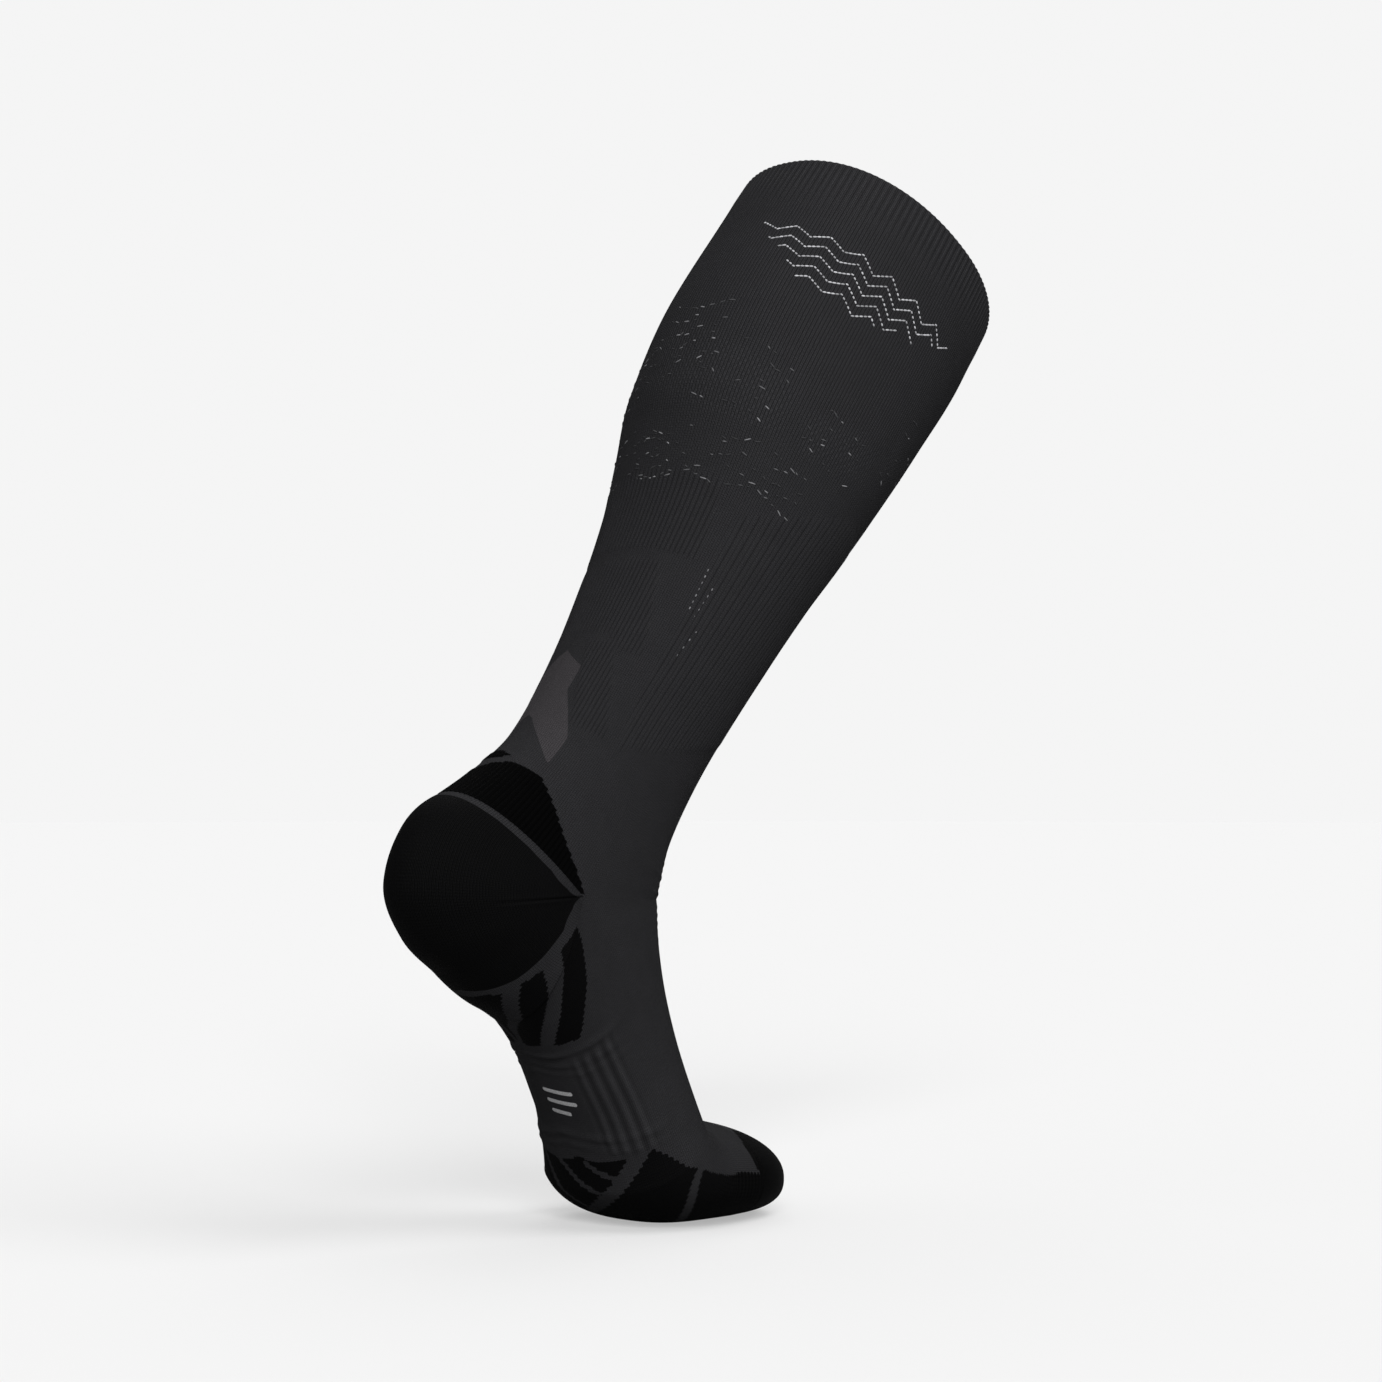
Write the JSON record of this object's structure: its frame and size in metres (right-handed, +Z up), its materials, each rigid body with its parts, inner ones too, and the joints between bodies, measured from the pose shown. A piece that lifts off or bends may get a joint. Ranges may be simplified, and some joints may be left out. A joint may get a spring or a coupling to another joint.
{
  "type": "knee-high compression sock",
  "caption": "Hollow knee-high compression sock in a toe-off pose, with a ribbed open cuff, ribbed leg panels, a heel pocket and a closed toe pocket.",
  "frame": {"origin": "middle of the open cuff, where the leg below the knee holds the sock up", "axes": "+Z up, +X towards the toes, +Y across the sock to its far side; the leg leans 36 degrees forward from upright and the toes lie flat"},
  "size_m": [0.3097, 0.1094, 0.4307],
  "materials": {
    "charcoal_rib": "matt charcoal ribbed elastic knit with a light grey knitted chevron ornament",
    "charcoal_knit": "matt charcoal fine-gauge elastic knit, polyamide with elastane",
    "black_knit": "matt black plush-backed knit",
    "light_yarn": "light grey yarn of the knitted ornament and the size ticks"
  },
  "bodies": {
    "root": {"cuff_welt": "charcoal_rib", "calf": "charcoal_knit", "lower_leg": "charcoal_knit", "ankle": "charcoal_knit", "collar": "charcoal_knit", "heel_pocket": "black_knit", "foot": "charcoal_knit", "toe_pocket": "black_knit"}
  },
  "joints": []
}
